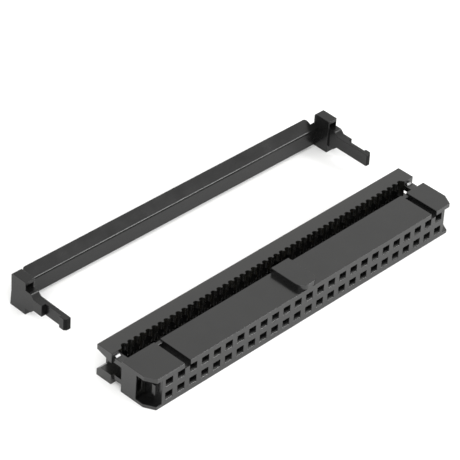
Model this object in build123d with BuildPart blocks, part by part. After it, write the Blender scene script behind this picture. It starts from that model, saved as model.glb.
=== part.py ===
from build123d import *
import os
from math import cos, radians, sin

# Insulation displacement connector for flat ribbon cable: 2 rows of 25 sockets on a 2.54 mm pitch.
# Millimetres. Origin on the mating face, midway between the rows, at the centre column.
# X runs along the rows, -Y is the mating direction, Z is up through the keyed face.

os.makedirs("parts", exist_ok=True)

# Driving dimensions
pitch = 2.54
columns = 25
wire_pitch = pitch / 2
ways = 2 * columns
height = 6.0
clearance = 0.05

# Housing: insulator block and end blocks
end_margin = 0.2
end_block_width = 2.1
core_half = columns * pitch / 2 + end_margin
end_half = core_half + end_block_width
housing_depth = 6.7
flange_ceiling = 2.2
flange_floor = -2.4
flange_chamfer_width = 1.0
flange_chamfer_length = 1.9
end_wall = 0.35
end_wall_front = 3.5
boss_reach = 0.6
boss_front = 0.95
boss_length = 0.7
boss_height = 2.0
key_width = 3.9
key_height = 1.0
key_radius = 1.5
key_groove_columns = (1.5, 23.5)
key_groove_width = 1.25
key_groove_depth = 0.95
key_groove_length = 6.0
key_groove_shelf = 0.25

# Sockets and the cavities behind them
mouth = 1.5
throat_height = 0.84
funnel_depth = 0.47
throat_depth = 0.95
cavity_width = 1.2
cavity_height = 1.4
blade_slot_front = 5.3

# Contacts: a spring hairpin with a slotted blade behind it
leaf = 0.2
spring_width = 1.0
spring_half = 0.62
pinch_half = 0.2
spring_mouth = 1.2
spring_pinch = 1.9
spring_shoulder = 3.4
spring_back = 5.55
blade_thickness = 0.3
blade_front = 5.35
blade_half = 0.52
blade_step = 6.3
blade_shoulder = 7.6
blade_tip = 7.8
wire_slot_half = 0.11
wire_slot_bottom = 6.95

# Cover, in its open position
cover_front = 8.9
cover_depth = 3.2
cover_core_margin = 0.1
cover_core_half = core_half + cover_core_margin
cover_half = end_half - clearance
wire_bed_front = 9.18
wire_bed_margin = 0.55
wire_bed_end = core_half - wire_bed_margin
wire_groove_radius = 0.48
wire_groove_sides = 12
blade_pocket_width = 1.7
blade_pocket_low = 0.12
blade_pocket_high = 1.55
blade_pocket_depth = 1.1
channel_half = 1.15
channel_flare_top = 2.05
channel_flare_bottom = 1.8
channel_flare_length = 0.8
leg_width = 1.6
leg_inner = core_half + clearance
leg_outer = leg_inner + leg_width
leg_web = 0.8
leg_half_height = 2.1
leg_front = 3.5
leg_window_length = 0.7
leg_stop_inset = 0.4
leg_stop_width = 1.0
leg_stop_front = 8.5
leg_stop_height = 0.3

# Strain relief, lying apart behind the connector
relief_x = 1.95
relief_y = 29.05
relief_yaw = -1.29
relief_overhang = 0.4
relief_half = end_half + relief_overhang
relief_block = 1.9
relief_block_depth = 3.4
relief_block_top = 3.3
relief_block_bulge = 0.25
relief_block_crown = 0.28
relief_bar_front = 2.4
relief_bar_back = 4.2
relief_bar_bottom = -2.2
relief_bar_ridge = 0.7
relief_bar_top = 2.05
relief_bar_inset = 2.75
relief_bar_half = relief_half - relief_bar_inset
relief_bar_radius = relief_bar_back - relief_block_depth
relief_ridge_radius = 0.25
arm_base_width = 1.6
arm_width = 0.8
arm_inner = relief_half - arm_base_width
arm_outer = arm_inner + arm_width
arm_half_height = 1.1
arm_length = 8.8
arm_base_length = 3.8
arm_hook = 0.4
arm_hook_length = 1.4
shoulder_half_height = 1.8
shoulder_length = 1.2
shoulder_slope = 0.7
relief_recess_depth = 1.2
relief_recess_height = 1.2
relief_recess_wall = 0.15

floor = -height / 2
top = height / 2
row_z = pitch / 2


def column_x(index):
    """Centre of a column of sockets, counted from 0."""
    return (index - (columns - 1) / 2) * pitch


def wire_x(index):
    """Centre of a wire of the ribbon cable, counted from 0."""
    return (index - (ways - 1) / 2) * wire_pitch


def section(depth):
    """Plane across the mating direction, at a depth behind the mating face."""
    return Plane.XZ.offset(-depth)


# Upper row contacts reach one wire to the left, and lower row contacts are turned over
upper_row = [Location((column_x(i), 0, row_z)) for i in range(columns)]
lower_row = [Location((column_x(i), 0, -row_z), (0, 180, 0)) for i in range(columns)]
sockets = upper_row + lower_row

# One socket's hollow: mouth sloped over and under, spring cavity and the slot that seats the blade
with BuildPart() as hollow:
    with BuildSketch(Plane.YZ):
        with BuildLine():
            Polyline(
                (0, mouth / 2),
                (funnel_depth, throat_height / 2),
                (throat_depth, throat_height / 2),
                (throat_depth, -throat_height / 2),
                (funnel_depth, -throat_height / 2),
                (0, -mouth / 2),
                close=True,
            )
        make_face()
    extrude(amount=mouth / 2, both=True)
    with BuildSketch(section(throat_depth)):
        Rectangle(cavity_width, cavity_height)
    extrude(amount=-(housing_depth - throat_depth))
    slot_left = -wire_pitch / 2 - blade_half - clearance
    slot_right = cavity_width / 2
    with BuildSketch(section(blade_slot_front)):
        with Locations(((slot_left + slot_right) / 2, 0)):
            Rectangle(slot_right - slot_left, blade_thickness + 2 * clearance)
    extrude(amount=-(housing_depth - blade_slot_front))

with BuildPart() as housing:
    # Insulator block
    with BuildSketch(section(0)):
        Rectangle(2 * core_half, height)
    extrude(amount=-housing_depth)
    # Flanges over and under the pocket of each end block, their front corners cut off in plan
    for low, high in ((flange_ceiling, top), (floor, flange_floor)):
        with BuildSketch(Plane.XY.offset(low)):
            with BuildLine():
                Polyline(
                    (core_half, 0),
                    (end_half - flange_chamfer_width, 0),
                    (end_half, flange_chamfer_length),
                    (end_half, housing_depth),
                    (core_half, housing_depth),
                    close=True,
                )
            make_face()
        extrude(amount=high - low)
    # Thin end wall behind which the strain relief's hook catches
    with BuildSketch(Plane.XY.offset(flange_floor)):
        with Locations((end_half, end_wall_front)):
            Rectangle(end_wall, housing_depth - end_wall_front, align=(Align.MAX, Align.MIN))
    extrude(amount=flange_ceiling - flange_floor)
    # Boss on the side of the insulator block
    with Locations((core_half, boss_front, 0)):
        Box(
            boss_reach,
            boss_length,
            boss_height,
            align=(Align.MIN, Align.MIN, Align.CENTER),
        )
    right_end = solids()[0].split(Plane.YZ, keep=Keep.TOP)
    mirror(right_end, about=Plane.YZ)
    # Polarizing key, with its front corners rounded in plan
    with BuildSketch(Plane.XY.offset(top)):
        with Locations((0, 0)):
            Rectangle(key_width, housing_depth, align=(Align.CENTER, Align.MIN))
        fillet(vertices().group_by(Axis.Y)[0], radius=key_radius)
    extrude(amount=key_height)
    # Keying grooves between columns of the upper row, with a shallow shelf at the back
    for length, depth in ((key_groove_length, key_groove_depth), (housing_depth, key_groove_shelf)):
        with BuildSketch(Plane.XY.offset(top)):
            with Locations(*[(column_x(c), 0) for c in key_groove_columns]):
                Rectangle(key_groove_width, length, align=(Align.CENTER, Align.MIN))
        extrude(amount=-depth, mode=Mode.SUBTRACT)
    # Sockets
    with Locations(*sockets):
        add(hollow.part, mode=Mode.SUBTRACT)

housing.part.label = "housing"
export_step(housing.part, "parts/housing.step")

# One contact, at the centre of its socket
with BuildPart() as contact_blank:
    with BuildSketch(Plane.YZ):
        with BuildLine():
            Polyline(
                (spring_mouth, spring_half),
                (spring_pinch, pinch_half + leaf),
                (spring_shoulder, spring_half),
                (spring_back, spring_half),
                (spring_back, -spring_half),
                (spring_shoulder, -spring_half),
                (spring_pinch, -pinch_half - leaf),
                (spring_mouth, -spring_half),
                (spring_mouth, leaf - spring_half),
                (spring_pinch, -pinch_half),
                (spring_shoulder, leaf - spring_half),
                (spring_back - leaf, leaf - spring_half),
                (spring_back - leaf, spring_half - leaf),
                (spring_shoulder, spring_half - leaf),
                (spring_pinch, pinch_half),
                (spring_mouth, spring_half - leaf),
                close=True,
            )
        make_face()
    extrude(amount=spring_width / 2, both=True)
    wire = -wire_pitch / 2
    with BuildSketch(Plane.XY):
        with BuildLine():
            Polyline(
                (spring_width / 2, blade_front),
                (spring_width / 2, blade_step),
                (wire + blade_half, blade_step),
                (wire + blade_half, blade_shoulder),
                ((wire + wire + blade_half + wire_slot_half) / 2, blade_tip),
                (wire + wire_slot_half, blade_shoulder),
                (wire + wire_slot_half, wire_slot_bottom),
                (wire - wire_slot_half, wire_slot_bottom),
                (wire - wire_slot_half, blade_shoulder),
                ((wire + wire - blade_half - wire_slot_half) / 2, blade_tip),
                (wire - blade_half, blade_shoulder),
                (wire - blade_half, blade_front),
                close=True,
            )
        make_face()
    extrude(amount=blade_thickness / 2, both=True)

for number, place in enumerate(sockets, start=1):
    with BuildPart() as contact:
        with Locations(place):
            add(contact_blank.part)
    contact.part.label = f"contact_{number:02d}"
    export_step(contact.part, f"parts/contact_{number:02d}.step")

with BuildPart() as cover:
    with BuildSketch(section(cover_front)):
        Rectangle(2 * cover_core_half, height)
    extrude(amount=-cover_depth)
    # End flanges, with a channel between them that flares towards the back
    cover_back = cover_front + cover_depth
    with BuildSketch(Plane.YZ.offset(cover_core_half)):
        with BuildLine():
            Polyline(
                (cover_front, channel_half),
                (cover_back, channel_flare_top),
                (cover_back, top),
                (cover_front, top),
                close=True,
            )
        make_face()
        with BuildLine():
            Polyline(
                (cover_front, -channel_half),
                (cover_back - channel_flare_length, -channel_half),
                (cover_back, -channel_flare_bottom),
                (cover_back, floor),
                (cover_front, floor),
                close=True,
            )
        make_face()
    extrude(amount=cover_half - cover_core_half)
    # Channel-shaped leg that runs into the housing's end block
    with BuildSketch(section(cover_front)):
        with BuildLine():
            Polyline(
                (leg_inner, -leg_half_height),
                (leg_outer, -leg_half_height),
                (leg_outer, -channel_half),
                (leg_inner + leg_web, -channel_half),
                (leg_inner + leg_web, channel_half),
                (leg_outer, channel_half),
                (leg_outer, leg_half_height),
                (leg_inner, leg_half_height),
                close=True,
            )
        make_face()
    extrude(amount=cover_front - leg_front)
    # Window through the leg's web at its root
    with Locations((leg_inner, cover_front, 0)):
        Box(
            leg_web,
            leg_window_length,
            2 * channel_half,
            align=(Align.MIN, Align.MAX, Align.CENTER),
            mode=Mode.SUBTRACT,
        )
    # Sloped stop on top of the leg
    leg_top = leg_half_height
    with BuildSketch(Plane.YZ.offset(leg_inner + leg_stop_inset)):
        with BuildLine():
            Polyline(
                (leg_stop_front, leg_top),
                (leg_stop_front + leg_stop_height, leg_top + leg_stop_height),
                (cover_front, leg_top + leg_stop_height),
                (cover_front, leg_top),
                close=True,
            )
        make_face()
    extrude(amount=leg_stop_width)
    right_half = solids()[0].split(Plane.YZ, keep=Keep.TOP)
    mirror(right_half, about=Plane.YZ)
    # Bed of the wires, set back from the end pads, with a wider notch beside the outer wires
    groove_bottom = wire_bed_front + wire_groove_radius
    with BuildSketch(Plane.XY.offset(floor)):
        with BuildLine():
            Polyline(
                (0, cover_front),
                (core_half, cover_front),
                (wire_bed_end, groove_bottom),
                (wire_x(ways - 1), groove_bottom),
                (wire_x(ways - 1), wire_bed_front),
                (0, wire_bed_front),
                close=True,
            )
        make_face()
        mirror(about=Plane.YZ)
    extrude(amount=height, mode=Mode.SUBTRACT)
    # Wire grooves
    with BuildSketch(Plane.XY.offset(floor)):
        with Locations(*[(wire_x(i), wire_bed_front) for i in range(ways)]):
            RegularPolygon(wire_groove_radius, side_count=wire_groove_sides)
    extrude(amount=height, mode=Mode.SUBTRACT)
    # Clearance pockets for the blades, alternate wires in alternate rows
    pocket_z = (blade_pocket_low + blade_pocket_high) / 2
    with BuildSketch(section(wire_bed_front)):
        with Locations(*[(wire_x(i), pocket_z if i % 2 == 0 else -pocket_z) for i in range(ways)]):
            Rectangle(blade_pocket_width, blade_pocket_high - blade_pocket_low)
    extrude(amount=-blade_pocket_depth, mode=Mode.SUBTRACT)

cover.part.label = "cover"
export_step(cover.part, "parts/cover.step")

# Frame of the strain relief: local x along its bar, local y away from the connector
relief_origin = Vector(relief_x, relief_y, 0)
along = Vector(cos(radians(relief_yaw)), sin(radians(relief_yaw)), 0)
away = Vector(-sin(radians(relief_yaw)), cos(radians(relief_yaw)), 0)
relief_plan = Plane(origin=relief_origin, x_dir=along, z_dir=(0, 0, 1))
relief_side = Plane(origin=relief_origin, x_dir=away, z_dir=along)

with BuildPart() as strain_relief:
    # Bar with a sloped top and a rounded front ridge
    with BuildSketch(relief_side):
        with BuildLine():
            Polyline(
                (relief_bar_front, relief_bar_bottom),
                (relief_bar_front, relief_bar_ridge),
                (relief_bar_back, relief_bar_top),
                (relief_bar_back, relief_bar_bottom),
                close=True,
            )
        make_face()
        ridge_place = relief_side.from_local_coords((relief_bar_front, relief_bar_ridge, 0))
        fillet(vertices().sort_by_distance(ridge_place)[0], radius=relief_ridge_radius)
    extrude(amount=relief_half - relief_block)
    # The bar's back is cut away beside the block, round the corner in plan
    with BuildSketch(relief_plan.offset(floor)):
        with BuildLine():
            corner = relief_bar_half - relief_bar_radius
            neck = relief_block_depth
            outer = relief_half - relief_block
            Line((outer, neck), (relief_bar_half, neck))
            RadiusArc((relief_bar_half, neck), (corner, relief_bar_back), -relief_bar_radius)
            Line((corner, relief_bar_back), (outer, relief_bar_back))
            Line((outer, relief_bar_back), (outer, neck))
        make_face()
    extrude(amount=height, mode=Mode.SUBTRACT)
    # End block, in side view: its back slopes out to the foot and its top edge is cut
    with BuildSketch(relief_side.offset(relief_half - relief_block)):
        with BuildLine():
            Polyline(
                (0, floor),
                (relief_block_depth + relief_block_bulge, floor),
                (relief_block_depth, 0),
                (relief_block_depth, relief_block_top - relief_block_crown),
                (relief_block_depth - relief_block_crown, relief_block_top),
                (0, relief_block_top),
                close=True,
            )
        make_face()
    extrude(amount=relief_block)
    # Recess in the block's front, above the arm
    with BuildSketch(relief_plan.offset(shoulder_half_height)):
        with Locations((relief_half - relief_recess_wall, 0)):
            Rectangle(
                relief_half - relief_recess_wall - arm_inner,
                relief_recess_depth,
                align=(Align.MAX, Align.MIN),
            )
    extrude(amount=relief_recess_height, mode=Mode.SUBTRACT)
    # Arm, its thick base and its hook, in plan
    with BuildSketch(relief_plan.offset(-arm_half_height)):
        with BuildLine():
            Polyline(
                (arm_inner, 0),
                (relief_half, 0),
                (relief_half, -arm_base_length),
                (arm_outer, -arm_base_length),
                (arm_outer, arm_hook_length - arm_length),
                (arm_outer + arm_hook, arm_hook_length - arm_length),
                (arm_outer + arm_hook, -arm_length + arm_hook),
                (arm_outer, -arm_length),
                (arm_inner, -arm_length),
                close=True,
            )
        make_face()
    extrude(amount=2 * arm_half_height)
    # Shoulder between the block and the arm
    shoulder_plane = relief_side.offset(arm_inner)
    with BuildSketch(shoulder_plane):
        with BuildLine():
            Polyline(
                (0, shoulder_half_height),
                (-shoulder_length, shoulder_half_height),
                (-shoulder_length - shoulder_slope, arm_half_height),
                (-shoulder_length - shoulder_slope, -arm_half_height),
                (-shoulder_length, -shoulder_half_height),
                (0, -shoulder_half_height),
                close=True,
            )
        make_face()
    extrude(amount=relief_half - arm_inner)
    mirror(about=Plane(origin=relief_origin, z_dir=along))

strain_relief.part.label = "strain_relief"
export_step(strain_relief.part, "parts/strain_relief.step")
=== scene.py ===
import math

import bmesh
import bpy
from mathutils import Matrix, Vector


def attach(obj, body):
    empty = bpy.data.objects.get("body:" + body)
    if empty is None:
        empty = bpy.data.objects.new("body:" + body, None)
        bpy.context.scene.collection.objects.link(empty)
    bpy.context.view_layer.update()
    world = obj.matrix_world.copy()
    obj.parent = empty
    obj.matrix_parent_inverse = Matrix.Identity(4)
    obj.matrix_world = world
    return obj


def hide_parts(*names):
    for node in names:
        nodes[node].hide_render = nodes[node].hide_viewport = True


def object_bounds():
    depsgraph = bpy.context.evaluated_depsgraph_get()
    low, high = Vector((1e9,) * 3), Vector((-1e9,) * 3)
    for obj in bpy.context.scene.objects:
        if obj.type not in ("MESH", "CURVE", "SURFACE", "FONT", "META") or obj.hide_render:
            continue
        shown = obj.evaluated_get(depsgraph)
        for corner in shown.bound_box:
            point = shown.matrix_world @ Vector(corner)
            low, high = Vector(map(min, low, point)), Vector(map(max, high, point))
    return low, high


MM = 0.001

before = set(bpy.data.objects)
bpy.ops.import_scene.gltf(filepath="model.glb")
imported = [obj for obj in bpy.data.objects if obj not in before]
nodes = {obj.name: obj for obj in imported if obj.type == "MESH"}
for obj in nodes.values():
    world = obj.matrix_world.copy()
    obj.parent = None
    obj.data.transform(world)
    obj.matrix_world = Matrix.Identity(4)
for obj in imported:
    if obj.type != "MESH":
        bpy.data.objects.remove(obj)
cad_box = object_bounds()
contacts = sorted(name for name in nodes if name.startswith("contact_"))


class Wire:
    """A shader socket that takes part in arithmetic."""

    def __init__(self, graph, socket):
        self.graph = graph
        self.socket = socket

    def _math(self, operation, *values):
        return self.graph.node("ShaderNodeMath", {"operation": operation}, values)

    def __add__(self, other):
        return self._math("ADD", self, other)

    def __radd__(self, other):
        return self._math("ADD", other, self)

    def __mul__(self, other):
        return self._math("MULTIPLY", self, other)

    def __rmul__(self, other):
        return self._math("MULTIPLY", other, self)


class Graph:
    """The node tree of one material, with its shader and its object coordinates in millimetres."""

    def __init__(self, name):
        self.material = bpy.data.materials.new(name)
        self.material.use_nodes = True
        self.tree = self.material.node_tree
        self.shader = self.tree.nodes["Principled BSDF"]
        values = {"Vector": self.node("ShaderNodeTexCoord", output="Object"), "Scale": 1 / MM}
        self.place = self.node("ShaderNodeVectorMath", {"operation": "SCALE"}, values)

    def link(self, value, socket):
        if isinstance(value, Wire):
            self.tree.links.new(value.socket, socket)
        elif socket.type == "RGBA":
            socket.default_value = (*value, 1.0)
        else:
            socket.default_value = value

    def node(self, kind, settings=None, values=(), output=0):
        """A new node with its settings and its inputs, which are given in order or by key."""
        made = self.tree.nodes.new(kind)
        for key, setting in (settings or {}).items():
            setattr(made, key, setting)
        pairs = values.items() if isinstance(values, dict) else enumerate(values)
        for key, value in pairs:
            self.link(value, made.inputs[key])
        return Wire(self, made.outputs[output])

    def noise(self, size, detail=2.0, roughness=0.5, place=None):
        """Noise whose features are about size millimetres wide."""
        values = {
            "Vector": place or self.place,
            "Scale": 1 / size,
            "Detail": detail,
            "Roughness": roughness,
        }
        return self.node("ShaderNodeTexNoise", {}, values)

    def spread(self, value, low, high, out_low=0.0, out_high=1.0):
        """The value's range low to high, stretched to another range and held inside it."""
        values = (value, low, high, out_low, out_high)
        return self.node("ShaderNodeMapRange", {"clamp": True}, values)

    def blend(self, factor, first, second):
        """A mix of two colours; a colour Mix node has its inputs and its output at these places."""
        values = {0: factor, 6: first, 7: second}
        return self.node("ShaderNodeMix", {"data_type": "RGBA"}, values, output=2)

    def bump(self, height, distance, strength):
        values = {"Height": height, "Distance": distance * MM, "Strength": strength}
        return self.node("ShaderNodeBump", {}, values)

    def finish(self, **sockets):
        for key, value in sockets.items():
            self.link(value, self.shader.inputs[key.replace("_", " ").title()])
        return self.material


def moulded(name, dark, light, rough, gloss):
    """Glass-filled black moulding: spark-eroded grain, faint flow mottling and fibre specks."""
    rough_swing = 0.05
    speck_share = 0.25
    g = Graph(name)
    grain = g.noise(0.09, detail=3.0, roughness=0.6)
    cloud = g.noise(3.5, detail=3.0, roughness=0.55)
    speck = g.spread(g.noise(0.22, detail=1.0), 0.62, 0.72)
    tone = g.spread(cloud, 0.3, 0.7) * (1 - speck_share) + speck * speck_share
    mottle = cloud + grain * 0.4
    g.shader.inputs["Specular IOR Level"].default_value = gloss
    return g.finish(
        base_color=g.blend(tone, dark, light),
        roughness=g.spread(mottle, 0.4, 1.0, rough - rough_swing, rough + rough_swing),
        normal=g.bump(grain, 0.006, 0.5),
    )


def plated(name):
    """Thin plated bronze strip with rolled lines along it and a slightly dull, warm tone."""
    g = Graph(name)
    along_strip = {"Vector": g.place, "Scale": (9.0, 0.9, 9.0)}
    lines = g.noise(1.0, detail=4.0, place=g.node("ShaderNodeMapping", {}, along_strip))
    cloud = g.spread(g.noise(0.9), 0.35, 0.65)
    return g.finish(
        base_color=g.blend(cloud, (0.52, 0.43, 0.27), (0.66, 0.57, 0.38)),
        metallic=1.0,
        roughness=g.spread(lines, 0.3, 0.7, 0.26, 0.42),
        normal=g.bump(lines, 0.004, 0.4),
    )


deep_black = (0.003, 0.003, 0.003)
pale_black = (0.006, 0.006, 0.006)
housing_black = moulded("housing_black", deep_black, pale_black, 0.22, 0.64)
cover_black = moulded("cover_black", deep_black, (0.006, 0.006, 0.005), 0.22, 0.72)
relief_black = moulded("relief_black", deep_black, pale_black, 0.24, 0.34)
# Darker, less glossy copy of the relief black for the faces that turn towards the connector:
# painted shade, not a colour of its own
painted_shade_relief_ends = moulded("painted_shade_relief_ends", (0.002, 0.002, 0.002), (0.004, 0.004, 0.004), 0.45, 0.1)
contact_plating = plated("contact_plating")


def merged(node_name):
    """A merged copy of a node's mesh."""
    bm = bmesh.new()
    bm.from_mesh(nodes[node_name].data)
    bmesh.ops.remove_doubles(bm, verts=bm.verts, dist=0.0005 * MM)
    return bm


def whole_faces(bm):
    """Join the triangles of each flat face."""
    bmesh.ops.dissolve_limit(
        bm,
        angle_limit=math.radians(0.5),
        verts=bm.verts,
        edges=bm.edges,
        use_dissolve_boundaries=False,
    )
    return bm


def outer_corners(bm, lowest_angle=25):
    """Edges that stand proud, as a mould leaves them with a small radius."""
    limit = math.radians(lowest_angle)
    return [
        edge for edge in bm.edges if edge.is_manifold and edge.calc_face_angle_signed() > limit
    ]


def round_edges(bm, chosen, width, segments=2):
    bmesh.ops.bevel(
        bm,
        geom=chosen,
        offset=width * MM,
        offset_type="OFFSET",
        segments=segments,
        profile=0.5,
        affect="EDGES",
        clamp_overlap=False,
        material=-1,
    )


def lean_to_large_faces(mesh, smooth_angle):
    """Corner normals weighted by area, so that flat faces stay flat beside their rounded edges."""
    limit = math.cos(math.radians(smooth_angle))
    bm = bmesh.new()
    bm.from_mesh(mesh)
    areas = [face.calc_area() for face in bm.faces]
    normals = []
    for face in bm.faces:
        for loop in face.loops:
            normal = Vector()
            for other in loop.vert.link_faces:
                if other.normal.dot(face.normal) > limit:
                    normal += other.normal * areas[other.index]
            normals.append(normal.normalized())
    bm.free()
    mesh.normals_split_custom_set(normals)


def moulding(bm, name, node_name, materials, smooth_angle=50):
    """A finished moulding that stands for a CAD node."""
    mesh = bpy.data.meshes.new(name)
    bm.to_mesh(mesh)
    bm.free()
    for material in materials:
        mesh.materials.append(material)
    mesh.shade_smooth()
    lean_to_large_faces(mesh, smooth_angle)
    made = bpy.data.objects.new(name, mesh)
    bpy.context.scene.collection.objects.link(made)
    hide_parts(node_name)
    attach(made, "cover" if node_name == "cover" else "connector")


def middle(edge):
    """The middle of an edge in metres."""
    return (edge.verts[0].co + edge.verts[1].co) / 2


# Housing: mouths and outer edges are rounded, the cavities behind the mouths stay sharp
core_half_length = 31.9
mouth_back = 0.1
cavity_half_height = 2.2
bm = whole_faces(merged("housing"))
outside = []
for edge in outer_corners(bm):
    point = middle(edge) / MM
    between_ends = abs(point.x) < core_half_length
    in_cavity = abs(point.z) < cavity_half_height and between_ends and point.y > mouth_back
    if not in_cavity:
        outside.append(edge)
round_edges(bm, outside, 0.07)
moulding(bm, "moulded_housing", "housing", [housing_black])

# Cover: ridges between the wires are rounded, the blade pockets stay sharp
pocket_half_height = 1.6
bm = whole_faces(merged("cover"))
outside = []
for edge in outer_corners(bm):
    point = middle(edge) / MM
    in_pocket = abs(point.z) < pocket_half_height and abs(point.x) < core_half_length
    if not in_pocket:
        outside.append(edge)
round_edges(bm, outside, 0.06)
moulding(bm, "moulded_cover", "cover", [cover_black], smooth_angle=40)

# Strain relief: the bar's slope runs on to a sharp back edge, its ridge has the larger radius
relief_place = Vector((1.95 * MM, 29.05 * MM, 0.0))
lie = Matrix.Translation(relief_place) @ Matrix.Rotation(math.radians(-1.29), 4, "Z")
to_bar = lie.inverted()
bar_half_length, block_back, bar_stretch = 32.0, 3.4, 0.25
ridge_height, ridge_depth, bar_slope = 0.7, 2.4, 0.75
bar_floor, bar_floor_drop = -2.2, 0.1
recess_ceiling, recess_depth, recess_ceiling_drop = 3.0, 1.3, 0.35
arm_base_start = -3.5


def on_bar(point):
    """A point in millimetres along the bar, away from the connector and up."""
    return (to_bar @ point) / MM


bm = merged("strain_relief")
for vert in bm.verts:
    spot = on_bar(vert.co)
    if abs(spot.x) < bar_half_length and spot.y > block_back - 0.1:
        spot.y += bar_stretch * (spot.y - block_back)
        if spot.z > 0:
            spot.z = ridge_height + (spot.y - ridge_depth) * bar_slope
    if abs(spot.z - bar_floor) < 0.01:
        spot.z -= bar_floor_drop
    if abs(spot.z - recess_ceiling) < 0.01 and spot.y < recess_depth:
        spot.z -= recess_ceiling_drop
    vert.co = lie @ (spot * MM)
whole_faces(bm)

# Painted shade: the front faces of the arms and of their bases get a darker, less glossy copy of
# the relief black
for face in bm.faces:
    spot = on_bar(face.calc_center_median())
    faces_front = (to_bar.to_3x3() @ face.normal).y < -0.6
    if faces_front and spot.y < arm_base_start:
        face.material_index = 1

ridge = []
corners = []
for edge in outer_corners(bm):
    spot = on_bar(middle(edge))
    on_ridge = abs(spot.y - ridge_depth) < 0.05 and abs(spot.z - ridge_height) < 0.05
    (ridge if on_ridge else corners).append(edge)
round_edges(bm, ridge, 0.24, segments=6)
round_edges(bm, [edge for edge in corners if edge.is_valid], 0.06)
moulding(bm, "moulded_strain_relief", "strain_relief", [relief_black, painted_shade_relief_ends])

# Contacts keep their own meshes
for name in contacts:
    mesh = nodes[name].data
    mesh.materials.clear()
    mesh.materials.append(contact_plating)


# Floor
def paper_white():
    material = bpy.data.materials.new("paper_white")
    material.use_nodes = True
    shader = material.node_tree.nodes["Principled BSDF"]
    shader.inputs["Base Color"].default_value = (0.9, 0.9, 0.9, 1.0)
    shader.inputs["Roughness"].default_value = 0.9
    shader.inputs["Specular IOR Level"].default_value = 0.0
    return material


floor_gap = 0.02
bm = bmesh.new()
bmesh.ops.create_grid(bm, x_segments=1, y_segments=1, size=3.0)
bmesh.ops.translate(bm, verts=bm.verts, vec=(0.0, 0.0, cad_box[0].z - floor_gap * MM))
floor_mesh = bpy.data.meshes.new("floor")
bm.to_mesh(floor_mesh)
bm.free()
floor_mesh.materials.append(paper_white())
floor = bpy.data.objects.new("floor", floor_mesh)
bpy.context.scene.collection.objects.link(floor)


# Lights
def soft_light(name, azimuth, elevation, distance, width, height, power):
    """A soft light aimed at the connector: azimuth 0 is in front, 90 at the right."""
    aim = Vector((0.0, 0.012, 0.0))
    a, e = math.radians(azimuth), math.radians(elevation)
    away = Vector((math.sin(a) * math.cos(e), -math.cos(a) * math.cos(e), math.sin(e)))
    data = bpy.data.lights.new(name, "AREA")
    data.shape = "RECTANGLE"
    data.size = width
    data.size_y = height
    data.energy = power
    light = bpy.data.objects.new(name, data)
    light.location = aim + away * distance
    light.rotation_mode = "QUATERNION"
    light.rotation_quaternion = away.to_track_quat("Z", "Y")
    bpy.context.scene.collection.objects.link(light)


soft_light("edge_light", 40.0, 32.0, 1.5, 0.36, 0.42, 9.5)
soft_light("front_light", -47.6, 37.35, 0.8, 0.8, 0.8, 5.2)

world = bpy.data.worlds.new("studio")
world.use_nodes = True
background = world.node_tree.nodes["Background"]
background.inputs["Color"].default_value = (1.0, 1.0, 0.985, 1.0)
background.inputs["Strength"].default_value = 1.05
bpy.context.scene.world = world

# Camera, where the fifty socket openings put it
right = Vector((0.70243551, -0.70981617, 0.05239626))
up = Vector((0.4025881, 0.45695115, 0.79316989))
back = Vector((-0.58694734, -0.53605658, 0.60674225))
distance, shift_right, shift_up = 435.5, -12.32, 11.35
focal_pixels, picture_pixels = 2792.7, 460
camera_data = bpy.data.cameras.new("camera")
camera_data.sensor_width = 36.0
camera_data.lens = focal_pixels / picture_pixels * camera_data.sensor_width
camera_data.clip_start = 0.01
camera_data.clip_end = 10.0
camera = bpy.data.objects.new("camera", camera_data)
stand = Matrix.Translation((back * distance + right * shift_right + up * shift_up) * MM)
camera.matrix_world = stand @ Matrix((right, up, back)).transposed().to_4x4()
bpy.context.scene.collection.objects.link(camera)
bpy.context.scene.camera = camera
bpy.context.scene.view_settings.view_transform = "Standard"
